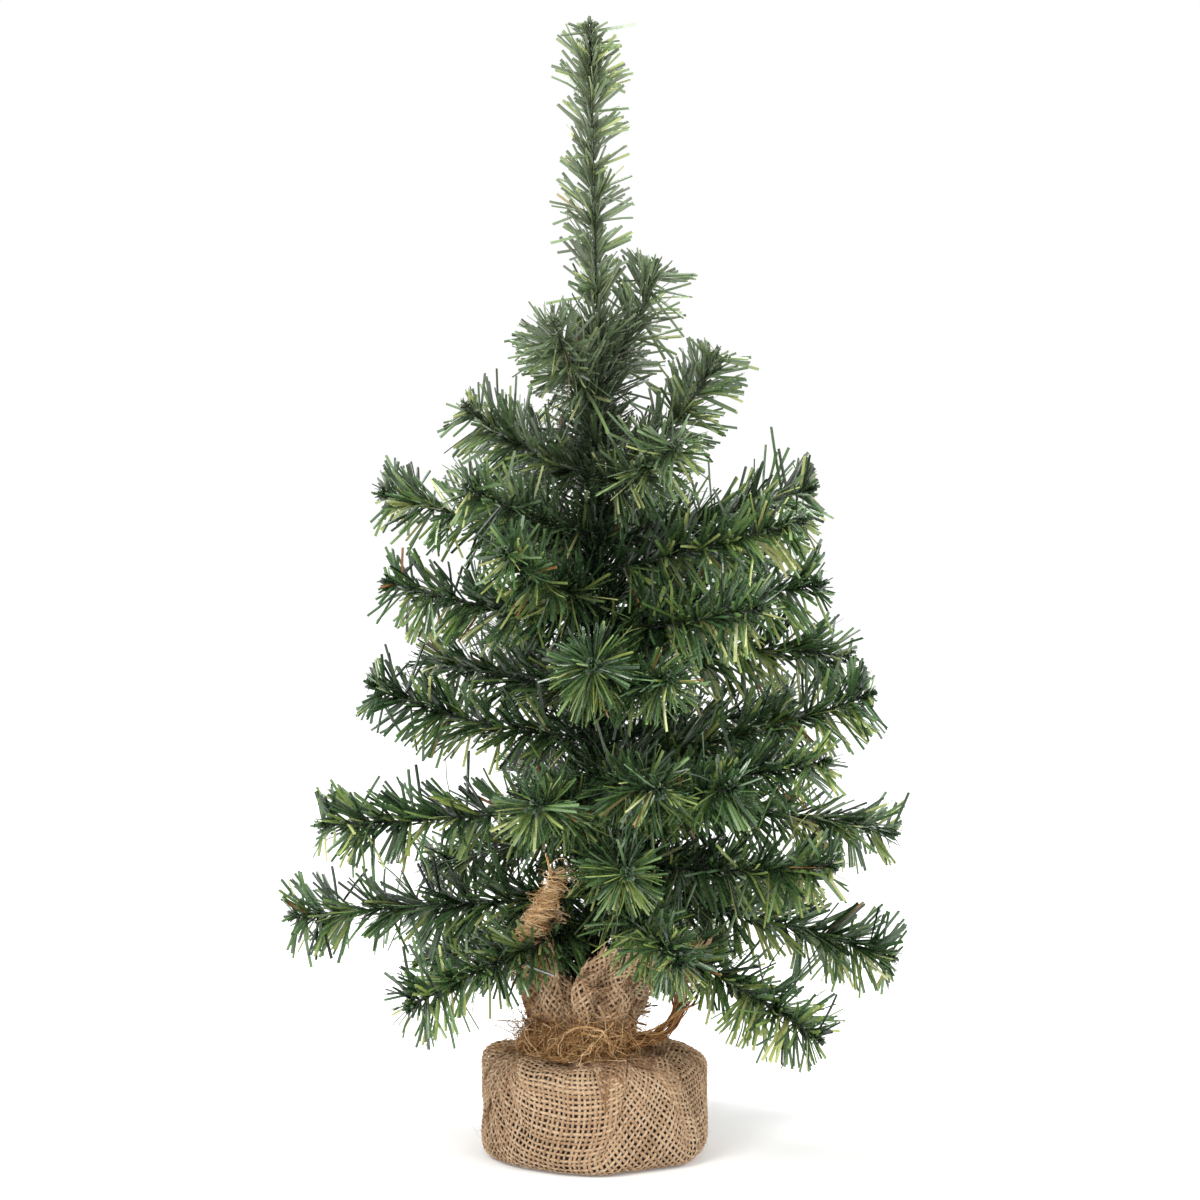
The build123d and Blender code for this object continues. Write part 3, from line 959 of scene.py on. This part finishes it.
def make_frayed_corner(p, material):
    """Pulled threads wound round the corner of the cloth that stands up at the front."""
    rng = np.random.default_rng(24)
    count = 900
    step = rng.integers(0, 16, count)
    middle = np.array([p[-1 - k, k] for k in range(18)])
    spine = middle[step] + rng.normal(0, 0.0008, (count, 3))
    azimuth = rng.uniform(0, 2 * math.pi, count)
    out = level_ways(azimuth)
    starts = spine + out * (0.0022 + 0.0006 * step)[:, None]
    directions = unit(np.cross(UP, out) + 0.16 * rng.normal(0, 1, starts.shape) + 0.10 * UP)
    lines = curly(starts, directions, rng.uniform(0.010, 0.024, count), 10, 0.13, rng, spine, 0.42)
    radius = 0.00010 + 0.00034 * rng.random(count) ** 2
    return fibres("frayed_corner", lines, radius, rng.uniform(0.6, 1.15, count), material)


def smooth_line(points, count):
    """Points on a smooth curve near the given ones."""
    points = np.array(points, float)
    for _ in range(4):
        near, far = points[:-1], points[1:]
        cut = np.stack([0.75 * near + 0.25 * far, 0.25 * near + 0.75 * far], axis=1)
        points = np.concatenate([points[:1], cut.reshape(-1, 3), points[-1:]])
    at = distances(points)
    place = np.linspace(0, at[-1], count)
    return np.stack([np.interp(place, at, points[:, k]) for k in range(3)], axis=1)


def plied(line, radius, lay):
    """Two strands twisted about a line."""
    tangents = unit(np.gradient(line, axis=0))
    wide = unit(np.cross(tangents, np.array((0.30, 0.20, 0.93))))
    thick = np.cross(tangents, wide)
    at = distances(line)
    parts = []
    for strand in range(2):
        angle = at / lay * 2 * math.pi + strand * math.pi
        offset = (wide * np.cos(angle)[:, None] + thick * np.sin(angle)[:, None]) * radius
        parts.append(tube(line + offset, radius, 6))
    return parts


def jute_piece(name, parts, material):
    """One piece of plied jute or loose yarns, on the base."""
    piece = new_mesh(name, *join_parts(parts), material, smooth=True)
    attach(piece, "base")
    return piece


def make_tie(material):
    """Two turns of two-ply jute twine with an overhand knot and short ends."""
    rng = np.random.default_rng(23)
    ring = NECK_RADIUS + 0.0014
    turn = np.linspace(0, 4 * math.pi, 420)
    height = 0.0645 + 0.0026 * turn / (2 * math.pi) + 0.0006 * np.sin(3 * turn + 1)
    rho = ring + 0.0004 * np.sin(5 * turn)
    azimuth = turn + KNOT_AZIMUTH
    line = NECK_CENTRE + np.stack([rho * np.cos(azimuth), rho * np.sin(azimuth), height], axis=1)
    parts = plied(line, 0.00068, 0.0052)
    out = np.array((math.cos(KNOT_AZIMUTH), math.sin(KNOT_AZIMUTH), 0.0))
    across = np.cross(UP, out)
    knot = np.linspace(0, 2 * math.pi * 1.9, 70)
    centre = NECK_CENTRE + out * (ring + 0.0012) + 0.0668 * UP
    bow = (centre + np.cos(knot)[:, None] * 0.0023 * across + np.sin(knot)[:, None] * 0.0021 * UP
           + (0.0011 * np.cos(2.1 * knot))[:, None] * out)
    parts += plied(bow, 0.00066, 0.0050)
    for way, drop in ((1, 0.012), (-1, 0.008)):
        end = smooth_line([centre, centre + out * 0.003 + across * 0.003 * way,
                           centre + out * 0.004 + across * 0.008 * way - UP * 0.001,
                           centre + out * 0.0045 + across * 0.011 * way - UP * drop], 60)
        parts += plied(end, 0.00062, 0.0050)
    tie = jute_piece("twine_tie", parts, material)
    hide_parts("neck_tie")
    faces = len(tie.data.polygons)
    give(tie, "tone", "FLOAT", "FACE", np.full(faces, 0.45) + rng.normal(0, 0.1, faces))


def make_torn_strip(material):
    """A strip torn off the hem, twisted, that comes out of the neck at the right and stands up."""
    rng = np.random.default_rng(25)
    points = [(0.010, -0.020, 0.063), (0.022, -0.021, 0.0645), (0.034, -0.019, 0.068),
              (0.0415, -0.017, 0.076), (0.0455, -0.016, 0.088), (0.047, -0.016, 0.100)]
    spine = smooth_line(points, 90)
    tangents = unit(np.gradient(spine, axis=0))
    wide = unit(np.cross(tangents, np.array((0.25, 0.95, 0.18))))
    thick = np.cross(tangents, wide)
    share = np.linspace(0, 1, len(spine))[:, None]
    yarns = 30
    parts = []
    for _ in range(yarns):
        angle = 5.0 * share + rng.uniform(0, 2 * math.pi)
        angle = angle + 0.7 * np.sin(rng.uniform(5, 14) * share + rng.uniform(0, 7))
        out = rng.uniform(0.2, 1.1) * (1 + rng.uniform(0.5, 2.0) * np.clip(share - 0.7, 0, 1) * 4)
        line = spine + (wide * np.cos(angle) * 0.0040 + thick * np.sin(angle) * 0.0026) * out
        line = line + tangents * rng.uniform(-0.010, 0.003) * share
        parts.append(tube(line, rng.uniform(0.00035, 0.00065), 4))
    strip = jute_piece("torn_strip", parts, material)
    tones = np.repeat(rng.uniform(0.0, 0.5, yarns), len(strip.data.polygons) // yarns)
    give(strip, "tone", "FLOAT", "FACE", tones)
    return strip


def make_loose_yarn(material):
    """Yarns that have come out of the cloth: one loops over the front of the neck, and one stands
    up at the corner."""
    points = [(-0.022, -0.0330, 0.063), (-0.021, -0.0355, 0.068), (-0.016, -0.0385, 0.073),
              (-0.009, -0.0395, 0.0765), (-0.001, -0.0395, 0.0755), (0.004, -0.0385, 0.0725),
              (0.000, -0.0395, 0.0705), (-0.008, -0.0395, 0.073)]
    parts = plied(smooth_line(points, 120), 0.00036, 0.0045)
    standing = [(-0.0200, -0.0385, 0.140), (-0.0222, -0.0395, 0.149), (-0.0236, -0.0385, 0.155),
                (-0.0252, -0.0380, 0.162), (-0.0268, -0.0380, 0.1685)]
    parts += plied(smooth_line(standing, 60), 0.00038, 0.0045)
    yarn = jute_piece("loose_yarn", parts, material)
    give(yarn, "tone", "FLOAT", "FACE", np.full(len(yarn.data.polygons), 0.8))
    return yarn


def make_burlap(stems, material, frayed):
    """The square of burlap, yarn by yarn, with its edges frayed where yarns have come off."""
    p = settle_cloth(stems)
    rng = np.random.default_rng(12)
    normals = unit(np.cross(np.gradient(p, axis=0), np.gradient(p, axis=1)))
    left = slice(FRAYED_YARNS, -FRAYED_YARNS)
    warp = yarn_set(p[left], normals[left], 1.0, rng)
    weft = yarn_set(p[:, left].swapaxes(0, 1), normals[:, left].swapaxes(0, 1), -1.0, rng)
    points, loops, sizes = join_parts([warp[:3], weft[:3]])
    cloth = new_mesh("burlap_cloth", points, loops, sizes, material, smooth=True)
    give(cloth, "tone", "FLOAT", "FACE", np.concatenate([warp[3], weft[3]]))
    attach(cloth, "base")
    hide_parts("burlap_wrap")
    loose = [make_fuzz(p, normals, frayed), make_tangle(frayed), make_frayed_corner(p, frayed),
             make_torn_strip(frayed), make_loose_yarn(frayed)]


# -------------------- floor, light, camera

def make_stage():
    """A pale floor under an even white sky."""
    m = Nodes("pale_floor")
    colour = m.ramp(m.noise(3.0), [(0.0, (0.86, 0.86, 0.86)), (1.0, (0.88, 0.88, 0.88))])
    m.feed("Base Color", colour)
    m.feed("Roughness", 0.9)
    m.feed("Emission Color", (1.0, 1.0, 1.0, 1.0))
    m.feed("Emission Strength", 0.13)
    bpy.ops.mesh.primitive_circle_add(
        vertices=96, radius=30, fill_type="NGON", location=(0, 0, -0.0002))
    floor = bpy.context.object
    floor.name = "floor"
    floor.data.materials.append(m.material)
    world = bpy.data.worlds.new("soft_white")
    world.use_nodes = True
    background = world.node_tree.nodes["Background"]
    background.inputs["Color"].default_value = (1.0, 1.0, 1.0, 1.0)
    background.inputs["Strength"].default_value = 1.0
    bpy.context.scene.world = world


def area_light(name, place, target, size, power):
    data = bpy.data.lights.new(name, "AREA")
    data.shape = "DISK"
    data.size = size
    data.energy = power
    light = bpy.data.objects.new(name, data)
    light.location = place
    light.rotation_euler = (Vector(target) - Vector(place)).to_track_quat("-Z", "Y").to_euler()
    bpy.context.scene.collection.objects.link(light)


def make_camera():
    """A long lens, near the height of the tip and tilted down, as in the photo."""
    data = bpy.data.cameras.new("camera")
    data.sensor_width = 36.0
    data.lens = 125.32
    data.clip_start, data.clip_end = 0.1, 60.0
    camera = bpy.data.objects.new("camera", data)
    camera.location = (0.0016, -2.2, 0.55)
    camera.rotation_euler = (math.radians(90 - 6.5355), 0, 0)
    bpy.context.scene.collection.objects.link(camera)
    bpy.context.scene.camera = camera


make_stage()
area_light("key", (-0.9, -1.3, 1.6), (0, 0, 0.3), 0.8, 26)
area_light("fill", (1.2, -1.0, 1.1), (0, 0, 0.3), 1.0, 11)
area_light("top", (0.0, 0.1, 1.6), (0, 0, 0.3), 0.7, 22)
make_camera()
bpy.context.scene.view_settings.view_transform = "Standard"

needle = needle_material()
wire = wire_material()
joints = {j["child"]: j for j in frame["joints"]}
for number, name in enumerate(sorted(n for n in joints if n.startswith("branch_")), start=1):
    make_branch(joints[name], number, needle, wire)
make_leader(joints["leader"], needle, wire)
make_garland(needle)

jute = burlap_material()
paint("base_weight", cement_material())
paint("trunk_pole", wire)
paint("root_bindings", wire)
stems = []
for joint in joints.values():
    root = np.array(joint["pos_m"], float)
    if root[2] < LOW_ROOT:
        outwards = np.array((-joint["axis"][1], joint["axis"][0], 0.0))
        stem = Stem(root, unit(outwards), node_points(joint["child"]))
        stems.append((root, stem.point(np.array(STEM_REACH))))
frayed = frayed_material()
make_burlap(stems, jute, frayed)
make_tie(frayed)
